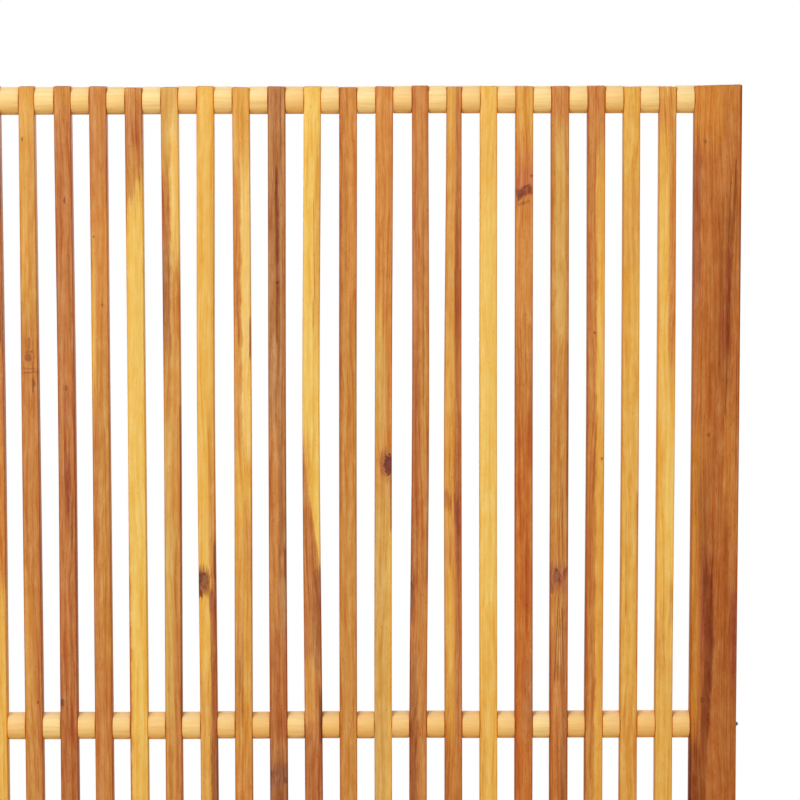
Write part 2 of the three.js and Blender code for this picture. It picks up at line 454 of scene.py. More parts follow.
def addRound(name, diameter, length, sides, place=(0, 0, 0)):
    # a round bar or drill along X
    clearSelection()
    bpy.ops.mesh.primitive_cylinder_add(vertices=sides, radius=diameter / 2, depth=length,
                                        location=place, rotation=(0, math.pi / 2, 0))
    bar = bpy.context.object
    bar.name = name
    return bar


def settle():
    # puts the place, turn and scale of what is picked into its mesh
    bpy.ops.object.transform_apply(location=True, rotation=True, scale=True)


def bevelRims(offset, segments):
    # eases or chamfers both rims of the round piece just added, and stays in edit mode
    startEdit("EDGE")
    bpy.ops.mesh.edges_select_sharp(sharpness=math.radians(60))
    bpy.ops.mesh.bevel(offset=offset, segments=segments, affect="EDGES")


def combine(piece, tool, operation):
    # cuts a piece with a tool, or keeps what they share
    pickOnly(piece)
    cut = piece.modifiers.new("cut", "BOOLEAN")
    cut.operation = operation
    cut.solver = "EXACT"
    cut.object = tool
    bpy.ops.object.modifier_apply(modifier=cut.name)
    remove(tool)


def bore(piece, diameter, reach, places):
    # drills round holes along X
    drills = [addRound("drill", diameter, reach, sides=24, place=place) for place in places]
    for drill in drills:
        drill.select_set(True)
    bpy.ops.object.join()
    combine(piece, bpy.context.object, "DIFFERENCE")


def bow(piece, middle, shape, shifts, widths):
    # bends a stave a little: how far each level moves sideways, and how wide it is there, in mm
    span = rowHeights[0] - rowHeights[-1]
    clearSelection()
    bpy.ops.object.add(type="LATTICE", location=(middle, 0, (rowHeights[0] + rowHeights[-1]) / 2))
    cage = bpy.context.object
    cage.scale = (shape["width"], shape["depth"], span)
    lattice = cage.data
    lattice.points_u = 2
    lattice.points_v = 2
    lattice.points_w = cageLevels
    lattice.interpolation_type_u = "KEY_LINEAR"
    lattice.interpolation_type_v = "KEY_LINEAR"
    lattice.interpolation_type_w = "KEY_CATMULL_ROM"
    for level in range(cageLevels):
        for corner in range(4):
            point = lattice.points[level * 4 + corner]
            wide = widths[level] * mm / shape["width"]
            point.co_deform.x = point.co.x * wide + shifts[level] * mm / shape["width"]
    pickOnly(piece)
    bend = piece.modifiers.new("bow", "LATTICE")
    bend.object = cage
    bpy.ops.object.modifier_apply(modifier=bend.name)
    remove(cage)


def cutTop(piece, middle, short, turn, below=0.0):
    # lowers the top end and turns it out of square, about a point at or below its middle
    topZone = 3 * mm  # the eased end lies within it
    pickPoints(piece, lambda place: place.z > panelTop - topZone)
    bpy.ops.transform.translate(value=(0, 0, -short))
    bpy.ops.transform.rotate(value=turn, orient_axis="Y",
                             center_override=(middle, 0, panelTop - short - below))
    endEdit()


def keepPlace(piece, name):
    # stores where each point is before the piece is bent
    flat = [value for point in piece.data.vertices for value in point.co]
    piece.data.attributes.new(name, "FLOAT_VECTOR", "POINT").data.foreach_set("vector", flat)


def finishPiece(piece, material, stoodFor, smoothTo=35):
    # smooths the angles under so many degrees, and gives the piece its wood or steel and its node
    pickOnly(piece)
    bpy.ops.object.shade_smooth_by_angle(angle=math.radians(smoothTo))
    piece.data.materials.clear()
    piece.data.materials.append(material)
    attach(piece, "root")
    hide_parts(stoodFor)


slatShape = dict(
    width=16.6 * mm,
    depth=21.8 * mm,
    eased=0.7 * mm,
    cuts=24,
    rodHole=5.0 * mm,
)
# Where the looks don't say: the ranges of each, in mm, and in degrees for the tilt of the top.
slatRanges = dict(
    shift=(-0.6, 0.6),
    width=(16.1, 16.9),
    lowerShift=(-0.4, 0.4),
    lowerWidth=(16.2, 17.0),
    short=(0.2, 1.8),
    tilt=(-1.2, 1.2),
)

# Each slat, from the left. Shift and width are in mm at the first row, midway and the second row:
# a fitting program measured them on the photograph, and the widths were then made 0.3 mm less.
# Short is how far the top is cut short, in mm. An area or streak is a tone with its left and right
# limit from the slat's middle, its low and high limit from the ground, how its sides lean and how
# its ends tilt. A knot has its place, half width, half height, strength and the tone of its eye.
# The far left slats and all lower ends are made after the pattern of the others.
slatLooks = [
    dict(tone="orange",
         areas=[("honey", -9, 1, 900, 1500)],
         knots=[(2, 700, 3, 5, 0.9, "cocoa")]),
    dict(tone="straw",
         areas=[("amber", 0, 9, 1200, 1800), ("honey", -9, 9, 0, 500)]),
    dict(tone="rust",
         areas=[("toffee", -9, 1, 300, 1100)],
         streaks=[("mahogany", 1, 2.5, 900, 1250, 0.004)]),
    dict(tone="honey",
         areas=[("toffee", -2, 9, 1100, 1800)],
         knots=[(-3, 1480, 3.5, 6, 0.85, "brick")]),
    dict(tone="orange",
         areas=[("redwood", -9, 9, 1640, 1810), ("rust", -9, 9, 1480, 1640), ("amber", -9, 9, 900, 1330)],
         streaks=[("mahogany", 4, 6.5, 1560, 1800)]),
    dict(tone="honey", shift=(0.1, 0.0, 0.0), width=(14.6, 15.8, 16.4), short=0.4,
         areas=[("tan", 0, 9, 1600, 1760), ("toffee", -9, 9, 0, 1600), ("clay", -9, 9, 1345, 1560),
                ("tan", -9, -0.5, 1210, 1320), ("clay", 1, 9, 1100, 1400)],
         streaks=[("chestnut", -4, 3, 1551.6, 1553), ("umber", -7, 5.5, 1535.8, 1537.4, 0.0, -0.08),
                  ("chestnut", -5.5, 8.5, 1532.2, 1533.8, 0.0, 0.08), ("chestnut", 2.2, 4.0, 1514, 1528),
                  ("bark", 4.0, 5.6, 1519, 1525), ("umber", 1.2, 2.6, 1498, 1512)],
         knots=[(-0.8, 1560, 2.6, 4.4, 0.4, "umber"), (-1.1, 1547, 3.4, 3.0, 0.85, "brick"),
                (4.5, 1220, 0.9, 1.6), (-4.7, 1751, 0.8, 2.0)]),
    dict(tone="rust", shift=(0.3, 1.0, 0.1), width=(15.7, 15.7, 16.2), short=0.25,
         areas=[("toffee", -9, 9, 1775, 1810), ("redwood", 1, 9, 1180, 1400),
                ("redwood", -9, 9, 0, 1250), ("brick", -2, 3, 1398, 1462)],
         streaks=[("bark", 0.2, 1.3, 1400, 1446), ("bark", 3.4, 5.6, 1365, 1412),
                  ("sienna", -9, -6, 1560, 1690), ("bark", 2.6, 3.3, 1430, 1480),
                  ("umber", -2.6, -1.8, 1385, 1450), ("umber", 4, 5.5, 1560, 1640),
                  ("sienna", -1.6, 2.6, 1482, 1514), ("chestnut", -6.4, -1.6, 1220.6, 1222.2, 0.0, 0.1)],
         knots=[(1, 1694, 0.9, 2.4), (0, 1518, 1.6, 2.4, 0.9, "brick"),
                (-6.6, 1219, 1.3, 3.0, 1.0, "mahogany")]),
    dict(tone="toffee", shift=(0.2, 0.1, -0.2), width=(16.1, 15.9, 16.4), short=0.6,
         areas=[("orange", -9, 9, 1560, 1760), ("clay", -9, 9, 1700, 1810), ("gold", -9, -4, 1480, 1640),
                ("clay", -9, -1, 1120, 1500), ("clay", -9, 9, 0, 1250)],
         streaks=[("umber", 3.4, 4.4, 1380, 1480)],
         knots=[(2.6, 1596, 0.7, 1.2), (-4.8, 1660, 0.6, 1)]),
    dict(tone="straw", shift=(0.3, 0.3, 0.0), width=(16.2, 16.1, 16.7), short=1.8,
         areas=[("rust", -9, 9, 1704, 1810, 0.0, 1.9), ("toffee", -9, 1, 1704, 1740, 0.0, 1.9),
                ("amber", -9, 9, 0, 1190), ("orange", -9, -6.5, 1100, 1360)],
         streaks=[("umber", 2, 3, 1745, 1790)]),
    dict(tone="ochre", shift=(0.6, 0.8, -0.3), width=(16.1, 15.7, 15.7), short=1.5,
         areas=[("cream", 0.5, 9, 1640, 1770), ("orange", 0.5, 9, 1560, 1620),
                ("rust", -9, -1, 1640, 1712), ("umber", -9, -0.5, 1545, 1650),
                ("toffee", -9, -1, 1490, 1545), ("tan", 0, 9, 1380, 1560), ("toffee", 1, 9, 1260, 1380),
                ("clay", 1, 9, 0, 1290), ("toffee", -9, 1, 0, 1190)],
         streaks=[("umber", 7, 9, 1200, 1500), ("umber", -7.5, -6, 1660, 1700)]),
    dict(tone="amber", shift=(0.8, -1.0, -0.2), width=(16.2, 16.1, 16.0), short=0.6,
         areas=[("gold", 4.5, 9, 1450, 1700), ("honey", 1.5, 9, 1400, 1490), ("tan", 2, 9, 1340, 1430),
                ("ginger", 4.5, 9, 1290, 1375), ("redwood", 2.5, 9, 0, 1335), ("honey", -9, 2, 0, 1240),
                ("chestnut", 2, 9, 0, 1190)],
         streaks=[("ember", 1.0, 4.5, 1338, 1356, 0.36), ("bark", 6.5, 8.3, 1335, 1372),
                  ("brick", 2.0, 8.3, 1304, 1328, -0.05), ("chestnut", -8, 1, 1322, 1346),
                  ("bark", -8, -5, 1320, 1334), ("umber", 3, 4.5, 1180, 1300)],
         knots=[(-3.6, 1336, 4.4, 7.0, 0.8, "cocoa"), (-6.0, 1338, 1.8, 4.2, 0.8, "mahogany"),
                (-2.6, 1329, 1.6, 1.8, 0.7, "bark")]),
    dict(tone="honey", shift=(0.8, 0.7, -0.4), width=(16.0, 16.0, 16.4), short=1.7,
         areas=[("orange", -9, -1, 1560, 1710), ("cream", -0.5, 9, 1440, 1730),
                ("tan", -9, -0.5, 1450, 1560), ("gold", -9, 9, 1380, 1455), ("tan", 0.5, 9, 1335, 1400),
                ("tan", -9, 0, 1230, 1320), ("toffee", -9, 0, 1190, 1280), ("orange", -9, 9, 0, 1175)],
         streaks=[("redwood", -6.5, -3.6, 1585, 1628), ("redwood", -4.5, -2.5, 1560, 1590),
                  ("umber", -4, -2.8, 1225, 1266, 0.02), ("umber", 6.6, 8.3, 1545, 1580),
                  ("rust", 1.5, 2.2, 1130, 1225), ("rust", -1.4, -0.8, 1140, 1235)]),
    dict(tone="walnut", shift=(0.9, -0.3, -0.5), width=(16.3, 16.1, 16.5), short=1.0,
         areas=[("clay", -9, 1, 1260, 1480), ("umber", -9, -2, 1650, 1700), ("redwood", -9, 9, 0, 1290),
                ("umber", -9, 9, 0, 1180)],
         streaks=[("umber", -3.5, 3.5, 1570, 1800), ("mahogany", -1.4, 1.8, 1636, 1722),
                  ("mahogany", -0.8, 1.2, 1560, 1640), ("chestnut", 3.4, 4.6, 1730, 1795),
                  ("umber", 1.2, 3.2, 1470, 1570), ("chestnut", 1.5, 6, 1340, 1367),
                  ("clay", 3, 7.5, 1346, 1361), ("mahogany", 6, 8, 1335, 1368),
                  ("cocoa", -9, 9, 1138, 1158, 0.0, 0.3), ("chestnut", -9, 9, 1080, 1136),
                  ("mahogany", 4.6, 8.3, 1141, 1147), ("bark", -8.3, -5, 1146, 1153),
                  ("umber", -3.5, 0.5, 1145, 1150, 0.0, 0.8)],
         knots=[(0.8, 1616.5, 1.0, 1.2, 1.0, "heart")]),
    dict(tone="straw", shift=(1.1, -1.7, -0.6), width=(15.9, 15.9, 16.5), short=1.1,
         areas=[("gold", 2.5, 9, 1560, 1750), ("honey", -9, -1, 1420, 1470)],
         streaks=[("clay", -12, 12, 0, 1404, 0.0, -7.1), ("rust", -12, 12, 0, 1390, 0.0, -7.1),
                  ("umber", 0, 9, 1250, 1345), ("tan", -9, 1.5, 1200, 1262), ("redwood", -9, 9, 0, 1190),
                  ("umber", -2.6, -1.5, 1300, 1400, -0.05), ("umber", 3.2, 3.9, 1290, 1372, -0.04),
                  ("mahogany", 5.5, 8.3, 1180, 1232), ("toffee", 1.6, 2.8, 1572, 1600),
                  ("toffee", 3, 4, 1600, 1690, -0.02)]),
    dict(tone="toffee", shift=(1.3, -0.1, -0.7), width=(16.5, 16.4, 16.4), short=1.9,
         areas=[("ginger", -9, -1, 1590, 1810), ("orange", -0.5, 9, 1590, 1790)],
         streaks=[("umber", -7.5, -6, 1400, 1700)]),
    dict(tone="orange", shift=(1.9, 0.2, -0.9), width=(16.5, 16.1, 16.6), short=1.2,
         areas=[("honey", -9, -1, 1480, 1600), ("ochre", -9, 2, 1455, 1560), ("ochre", -9, 9, 900, 1425),
                ("gold", 3.5, 9, 1100, 1400)],
         streaks=[("toffee", -1, 0.4, 1560, 1700), ("umber", 6.5, 8.5, 1380, 1436),
                  ("sienna", -1.5, 4, 1434, 1458)],
         knots=[(5.6, 1445.5, 4.9, 9.4, 1.0, "plum")]),
    dict(tone="clay", shift=(2.2, 2.1, -0.9), width=(15.3, 16.0, 16.5), short=0.6,
         areas=[("toffee", 1, 9, 1440, 1620), ("rust", -9, -1, 1560, 1720),
                ("redwood", -9, -1, 1330, 1560), ("chestnut", -9, -4, 1300, 1340),
                ("umber", -9, -0.5, 0, 1265)],
         streaks=[("umber", 2, 3.4, 1500, 1690), ("toffee", 4, 6, 1100, 1500),
                  ("umber", 5.8, 7.5, 1330, 1480)]),
    dict(tone="honey", shift=(0.7, -0.8, -0.6), width=(13.9, 16.2, 16.5), short=1.4,
         areas=[("tan", -9, 1, 1575, 1720), ("rust", 1.2, 9, 900, 1810), ("redwood", 1.4, 9, 1560, 1690),
                ("redwood", 1.2, 9, 1345, 1480), ("brick", 2.0, 7, 1372, 1418),
                ("tan", -9, 1, 1325, 1385), ("ginger", -9, 9, 0, 1185)],
         streaks=[("amber", -4.5, -1.5, 1250, 1345), ("brick", 0.6, 5.4, 1390, 1416),
                  ("bark", 2.4, 3.4, 1392, 1408), ("brick", 3.0, 3.8, 1350, 1380),
                  ("ginger", -8.5, -1, 1398, 1416, 0.0, -0.8), ("toffee", -3.5, -2.5, 1420, 1460)]),
    dict(tone="straw", shift=(-0.3, -0.7, -0.5), width=(15.8, 16.3, 16.5), short=1.0,
         areas=[("amber", -9, 9, 1700, 1810), ("amber", -9, 9, 0, 1300), ("gold", -9, -2, 900, 1200)]),
    dict(tone="orange", shift=(-0.1, -0.4, -0.3), width=(16.4, 16.5, 16.8), short=1.2,
         areas=[("honey", -9, 9, 1755, 1810), ("ginger", -9, 9, 1400, 1570), ("ember", -9, 9, 0, 1470),
                ("redwood", 0, 9, 1190, 1260)],
         streaks=[("salmon", -8, 8, 1698, 1722, 0.0, 0.3), ("brick", -6.5, 6, 1697, 1706, 0.0, 0.4),
                  ("plum", -6, -2.2, 1696, 1701, 0.0, 0.7), ("bark", 3.4, 7.6, 1699, 1706),
                  ("bark", 5.5, 8.3, 1714.5, 1717), ("bark", -2, 4, 1704, 1706, 0.0, 0.5),
                  ("salmon", -5, 6, 1730, 1732.5), ("umber", -6, 5, 1689, 1692, 0.0, 0.3)],
         knots=[(-3.0, 1700, 3.0, 3.0, 0.7, "plum")]),
    dict(tone="toffee", shift=(0.1, 0.1, -0.4), width=(16.6, 16.7, 16.9), short=1.2,
         areas=[("ochre", -5, 4.5, 1560, 1765), ("clay", -9, 9, 1762, 1810), ("clay", -9, 9, 900, 1300),
                ("redwood", 2.5, 9, 1150, 1330), ("umber", 2, 9, 900, 1200)],
         streaks=[("umber", 6.2, 8.4, 1340, 1560), ("umber", -1.2, -0.2, 1345, 1450, 0.02),
                  ("umber", 2, 3, 1350, 1420), ("tan", -3, 3, 1255, 1318),
                  ("bark", -4.8, -3.8, 1236, 1320, 0.044), ("bark", -1.6, -0.7, 1240, 1322, 0.025),
                  ("chestnut", 1.6, 2.4, 1225, 1300, -0.01), ("bark", 4.4, 5.4, 1235, 1314, -0.033),
                  ("sienna", -8, 8, 1325, 1350), ("brick", -1, 8.3, 1330, 1339, 0.0, 1.3),
                  ("bark", 3.4, 8.3, 1337, 1342, 0.0, 0.8), ("chestnut", -8, -5, 1322, 1332)],
         knots=[(-2.4, 1344.5, 1.6, 1.6, 1.0, "heart"), (-2.2, 1338, 3.8, 5.4, 0.85, "cocoa")]),
    dict(tone="clay", shift=(0.7, 0.8, -0.4), width=(16.4, 16.3, 16.8), short=1.0,
         areas=[("marigold", 0.5, 9, 900, 1735), ("amber", 1.0, 9, 1500, 1640),
                ("ginger", -9, 0, 1200, 1480), ("toffee", -9, 0, 0, 1200)],
         knots=[(-1.3, 1569, 1.0, 1.4), (6, 1450, 0.8, 1.2)]),
    dict(tone="gold", shift=(0.6, 0.4, -0.6), width=(15.5, 15.8, 16.2), short=1.8,
         areas=[("honey", -9, 9, 1630, 1715), ("honey", -9, 9, 0, 1230)],
         streaks=[("toffee", 1, 2, 1765, 1780), ("toffee", -4, -3, 1300, 1400),
                  ("orange", 6, 9, 1250, 1420)]),
    dict(tone="amber", shift=(1.0, 0.8, -0.4), width=(15.8, 16.3, 16.2), short=1.8,
         areas=[("tan", -9, 9, 1725, 1810), ("gold", -9, 0, 1705, 1755), ("orange", 1.5, 9, 1530, 1730),
                ("straw", 0, 9, 1340, 1480), ("honey", -9, 1, 0, 1300), ("gold", -9, 9, 0, 1250)],
         streaks=[("ochre", 4.5, 8.5, 1290, 1335)]),
]

placeName = "place_in_slat"
slatBlank = addStave("slat_blank", slatShape)
bore(slatBlank, slatShape["rodHole"], 4 * slatShape["width"], [(0, 0, height) for height in rowHeights])
keepPlace(slatBlank, placeName)
slatEdges = []  # left and right edge of each slat at each row
for index, look in enumerate(slatLooks):
    middle = slatMiddles[index]
    slat = copyOf(slatBlank, f"oiled_slat_{index + 1:02d}")
    slat.data.transform(Matrix.Translation((middle, 0, 0)))
    ownShift = [chance.uniform(*slatRanges["shift"]) for level in range(3)]
    topShift, midShift, lowShift = look.get("shift", ownShift)
    ownWidth = [chance.uniform(*slatRanges["width"]) for level in range(3)]
    topWidth, midWidth, lowWidth = look.get("width", ownWidth)
    shifts = [lowShift + chance.uniform(*slatRanges["lowerShift"]) for level in range(lowerLevels)]
    shifts += [lowShift, midShift, topShift]
    widths = [chance.uniform(*slatRanges["lowerWidth"]) for level in range(lowerLevels)]
    widths += [lowWidth, midWidth, topWidth]
    bow(slat, middle, slatShape, shifts, widths)
    short = look.get("short", chance.uniform(*slatRanges["short"])) * mm
    cutTop(slat, middle, short, math.radians(chance.uniform(*slatRanges["tilt"])), below=1 * mm)
    slatEdges.append([(middle + (shifts[level] - widths[level] / 2) * mm,
                       middle + (shifts[level] + widths[level] / 2) * mm) for level in rowLevels])
    wood = makeWood(f"oiled acacia, slat {index + 1:02d}", look, slatShape, seed=index + 1.37,
                    placeName=placeName)
    finishPiece(slat, wood, f"slat_{index + 1:02d}")
remove(slatBlank)
print("slats done")


boardShape = dict(
    width=44.0 * mm,
    depth=21.8 * mm,
    eased=1.2 * mm,
    cuts=24,
    rodHole=5.0 * mm,
    pocket=11.4 * mm,          # round pocket for a washer and nut, sunk in the outer edge
    seat=0.3 * mm,             # between the floor of a pocket and its washer
    drill=40 * mm,             # length of the drill for the pockets
    short=0.2 * mm,
    skew=1.5,                  # degrees that the top is cut out of square
    lowerShift=(-0.2, 0.2),    # ranges in mm
    widthError=(-0.3, 0.3),
)
# Both boards are richer and duller than the slats, with a calmer figure and wider rings.
boardWood = dict(tone="redwood", rich=0.06, calm=0.6, gloss=0.1, ringWidth=7.0)
boardLooks = dict(
    left=dict(shift=(-0.2, -0.3, 0.2),
              areas=[("rust", -23, 4, 1300, 1810), ("clay", 6, 23, 1500, 1810),
                     ("sienna", -23, -10, 900, 1300), ("umber", 8, 23, 0, 900),
                     ("ember", -23, 0, 400, 800), ("brick", -8, 3, 800, 1180, 0.02),
                     ("walnut", 12, 23, 950, 1350)],
              streaks=[("bark", -5, -2.4, 830, 1150, 0.02), ("umber", 10, 10.8, 1200, 1700),
                       ("bark", 4, 4.8, 300, 620), ("chestnut", -16, -15, 1350, 1600),
                       ("bark", 14, 15, 180, 520, 0.01)],
              knots=[(9, 1330, 1.4, 2.4, 0.9, "brick"), (-12, 620, 3.2, 5.5, 0.85, "cocoa")]),
    right=dict(shift=(1.1, 0.5, -0.6),
               areas=[("rust", -23, 23, 1695, 1810), ("orange", -23, 5, 1752, 1810),
                      ("clay", 5, 23, 1768, 1810), ("sienna", -23, -14, 1585, 1735),
                      ("rust", -14, -3, 1590, 1700), ("umber", 5, 14, 1635, 1690),
                      ("rust", -23, -7, 1440, 1572), ("toffee", -23, -13, 1425, 1478),
                      ("clay", 8, 23, 1395, 1500), ("rust", 15.5, 23, 1480, 1655),
                      ("clay", 15, 23, 1375, 1400), ("umber", -15, -4, 1330, 1430),
                      ("toffee", -24, -15.5, 1185, 1415), ("umber", 1, 13, 1525, 1650, 0.02),
                      ("brick", -13, -1, 1255, 1360), ("bark", -9.5, -1, 1268, 1350, -0.02),
                      ("bark", -14, -6, 1165, 1285, 0.055), ("brick", 14, 21, 1235, 1325),
                      ("chestnut", -23, -7, 0, 1178), ("bark", -24, -15, 0, 1158)],
               streaks=[("bark", 12.4, 13.8, 1630, 1730, 0.05), ("bark", 14.6, 15.3, 1640, 1722, 0.05),
                        ("brick", 7.4, 12.4, 1545, 1650, 0.02), ("bark", 9.4, 12.2, 1555, 1640, 0.03),
                        ("bark", 8.2, 9.8, 1490, 1565, 0.03), ("brick", 5.4, 6.4, 1560, 1650, 0.03),
                        ("brick", 2.8, 3.6, 1530, 1600, 0.02),
                        ("chestnut", 16.6, 17.4, 1590, 1700, 0.02),
                        ("chestnut", 10.6, 11.4, 1650, 1720, 0.04),
                        ("bark", -7.6, -3.4, 1270, 1345, -0.02),
                        ("bark", -12.4, -8.6, 1190, 1290, 0.055), ("umber", 3, 3.8, 1300, 1460),
                        ("umber", -14, -13.3, 1380, 1560), ("umber", -6, -5, 1500, 1640),
                        ("chestnut", 15.5, 16.6, 1130, 1330), ("chestnut", 7, 7.8, 1130, 1290),
                        ("umber", 11.6, 12.4, 1180, 1420), ("chestnut", 19, 20, 1440, 1560)],
               knots=[(-11, 1747, 0.9, 1.6, 0.9, "brick"), (-10.3, 1220, 1.5, 2.4, 0.9, "bark"),
                      (-6.3, 1472, 0.9, 1.4, 0.9, "brick")]),
)

boardEdges = {}  # inner edge of each board at each row
for word, side in dict(left=-1, right=1).items():
    look = dict(boardWood, **boardLooks[word])
    middle = middleOf(f"end_board_{word}").x
    board = addStave(f"oiled_end_board_{word}", boardShape)
    board.data.transform(Matrix.Translation((middle, 0, 0)))
    topShift, midShift, lowShift = look["shift"]
    shifts = [lowShift + chance.uniform(*boardShape["lowerShift"]) for level in range(lowerLevels)]
    shifts += [lowShift, midShift, topShift]
    widths = [boardShape["width"] / mm + chance.uniform(*boardShape["widthError"])
              for level in range(cageLevels)]
    bow(board, middle, boardShape, shifts, widths)
    skew = math.radians(boardShape["skew"])
    drop = math.tan(skew) * boardShape["width"] / 2
    cutTop(board, middle, drop + boardShape["short"], side * skew)
    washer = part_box(f"washer_{word}_1")
    floor = (washer[0].x if side > 0 else washer[1].x) - side * boardShape["seat"]
    pocketMiddle = floor + side * boardShape["drill"] / 2
    bore(board, boardShape["rodHole"], 4 * boardShape["width"], [(middle, 0, z) for z in rowHeights])
    bore(board, boardShape["pocket"], boardShape["drill"], [(pocketMiddle, 0, z) for z in rowHeights])
    boardEdges[word] = [middle + (shifts[level] - side * widths[level] / 2) * mm for level in rowLevels]
    wood = makeWood(f"oiled acacia, {word} end board", look, boardShape, seed=40.2 + side, centre=middle)
    finishPiece(board, wood, f"end_board_{word}")
print("end boards done")


spacerShape = dict(
    diameter=26.0 * mm,
    length=15.5 * mm,
    eased=0.8 * mm,
    hole=5.0 * mm,
    sides=32,
    hair=0.1 * mm,         # between a spacer's end and the slat
    unevenness=0.4 * mm,   # how far a spacer sits high or low
    drop=0.3 * mm,         # how much lower they all sit
    lowest=-0.4 * mm,
    shrunk=0.012,          # share of its diameter that a spacer may lack
)


def addRing(name, diameter, length, eased, hole, sides):
    # a round piece along X: eased rims, and a hole for the rod bridged from end to end
    ring = addRound(name, diameter, length, sides)
    settle()
    bevelRims(eased, segments=2)
    startEdit("FACE")
    endEdit()
    for face in ring.data.polygons:
        face.select = abs(face.normal.x) > 0.99  # the two flat ends
    bpy.ops.object.mode_set(mode="EDIT")
    bpy.ops.mesh.inset(thickness=(diameter / 2 - eased - hole / 2) * math.cos(math.pi / sides))
    bpy.ops.mesh.bridge_edge_loops()
    bpy.ops.mesh.select_all(action="SELECT")
    bpy.ops.mesh.normals_make_consistent(inside=False)
    endEdit()
    return ring


# Pale spacer wood, turned and unstained: smooth and dull, fine grain along X, each one its own tone.
# Painted light and shade: the upper sides are painted paler as if lit from above, and the undersides and
# the lower rows deeper as painted shade.
paleWood = dict(
    light="#FEDF96",
    deep="#F2BA66",
    warm="#EBB05C",
    streak="#CC8C4C",
    bands=(60, 3.2, 3),    # mm along the spacer and across it, and octaves
    lines=(16, 0.6, 4),
    ownTone=0.8,           # how far the spacers differ, from light to deep
    ownGrain=300,          # mm, how far apart their parts of the grain may lie
    paintedLightFromAbove=0.3,          # painted light and shade: how much paler the top of the round is painted, and how much deeper its underside
    shaded=0.45,           # painted shade: share of the deep tone that is gained with each metre down
    paintedRimShade=1.1,            # how much deeper the eased rims are painted, as painted shade where each spacer meets the slats
    roughness=0.6,
    unevenShine=0.2,
    bump=0.4,
    relief=0.15 * mm,
)


def makePaleWood():
    material, tree, add, shader = startMaterial("pale turned spacer wood")
    place = add("TexCoord").outputs["Object"]
    # each spacer lies in a cell of its own, which gives it its tone and its part of the grain:
    # as wide as the slats' pitch, a third of a metre tall, and raised so that no row lies across two
    firstGap = slatMiddles[0] - slatPitch
    cell = add("Mapping", {"Vector": place, "Location": (-firstGap / slatPitch, 0, 0.1),
                           "Scale": (1 / slatPitch, 0, 3)})
    snapped = add("VectorMath", [cell], operation="FLOOR")
    own = add("TexWhiteNoise", {"Vector": snapped}, noise_dimensions="3D").outputs
    shift = add("VectorMath", {0: own["Color"], "Scale": paleWood["ownGrain"]}, operation="SCALE")
    inMm = add("VectorMath", {0: place, "Scale": 1 / mm}, operation="SCALE")
    moved = add("VectorMath", [inMm, shift], operation="ADD")
    grain = {}
    for label in ("bands", "lines"):
        along, across, octaves = paleWood[label]
        scaled = add("VectorMath", [moved, (1 / along, 1 / across, 1 / across)], operation="MULTIPLY")
        grain[label] = add("TexNoise", {"Vector": scaled, "Scale": 1.0, "Detail": octaves})
    # painted shade: the lower a spacer sits, the more of the deep tone it gets, on top of its own random
    # share
    height = add("SeparateXYZ", [place]).outputs["Z"]
    lower = add("Math", [panelTop, height], operation="SUBTRACT")
    shaded = add("Math", [lower, paleWood["shaded"]], operation="MULTIPLY")
    share = add("Math", [own["Value"], paleWood["ownTone"], shaded], operation="MULTIPLY_ADD",
                use_clamp=True)
    colour = add("Mix", {0: share, 6: linear(paleWood["light"]), 7: linear(paleWood["deep"])},
                 data_type="RGBA").outputs[2]
    for layer, tone, start, stop, most in (("bands", "warm", 0.45, 0.75, 0.55),
                                           ("lines", "streak", 0.66, 0.78, 0.5)):
        amount = add("MapRange", [grain[layer], start, stop, 0, most])
        colour = add("Mix", {0: amount, 6: colour, 7: linear(paleWood[tone])}, data_type="RGBA").outputs[2]
    lineShade = add("Math", [grain["lines"], 0.3, 0.85], operation="MULTIPLY_ADD")
    lined = add("VectorMath", {0: colour, "Scale": lineShade}, operation="SCALE")
    # painted light and shade: the upper side of each round is painted paler and its underside deeper
    facing = add("NewGeometry").outputs["Normal"]
    upward = add("SeparateXYZ", [facing]).outputs
    # painted shade: the eased rims at both ends are painted deeper, where the spacers meet the slats
    endward = add("Math", [upward["X"]], operation="ABSOLUTE")
    paintedRimShade = add("MapRange", [endward, 0.1, 0.8, 1.0, 1.0 + paleWood["paintedRimShade"]],
                 interpolation_type="SMOOTHSTEP")
    depth = add("Math", [upward["Z"], -paleWood["paintedLightFromAbove"], paintedRimShade], operation="MULTIPLY_ADD")
    withPaintedLight = add("Gamma", [lined, depth])
    finishMaterial(tree, shader, paleWood, withPaintedLight.outputs[0], grain["lines"], grain["lines"])
    shader.inputs["IOR"].default_value = 1.45
    return material


paleWoodMaterial = makePaleWood()
spacerBlank = addRing("spacer_blank", spacerShape["diameter"], spacerShape["length"], spacerShape["eased"],
                      spacerShape["hole"], spacerShape["sides"])
spacers = []
for row in range(rowCount):
    for gap in range(slatCount + 1):
        left = boardEdges["left"][row] if gap == 0 else slatEdges[gap - 1][row][1]
        right = boardEdges["right"][row] if gap == slatCount else slatEdges[gap][row][0]
        spacer = copyOf(spacerBlank, f"spacer_{row + 1}_{gap + 1:02d}")
        rise = chance.uniform(-1, 1) * spacerShape["unevenness"] - spacerShape["drop"]
        spacer.location = ((left + right) / 2, 0, rowHeights[row] + max(rise, spacerShape["lowest"]))
        spacer.scale.x = (right - left - 2 * spacerShape["hair"]) / spacerShape["length"]
        spacer.scale.y = spacer.scale.z = 1 + chance.uniform(-spacerShape["shrunk"], 0.0)
        spacer.rotation_euler.x = chance.uniform(0, math.tau)
        spacers.append((spacer, row))
clearSelection()
for spacer, row in spacers:
    spacer.select_set(True)
bpy.context.view_layer.objects.active = spacers[0][0]
settle()
for spacer, row in spacers:
    finishPiece(spacer, paleWoodMaterial, f"spacer_row_{row + 1}")
remove(spacerBlank)
print("spacers done")


# Zinc-plated steel that has dulled outdoors: grey, half matt, with cloudy patches.
zincSteel = dict(bright="#ADAFAE", dull="#858683", cloudScale=350.0, roughness=0.38, unevenShine=0.3)


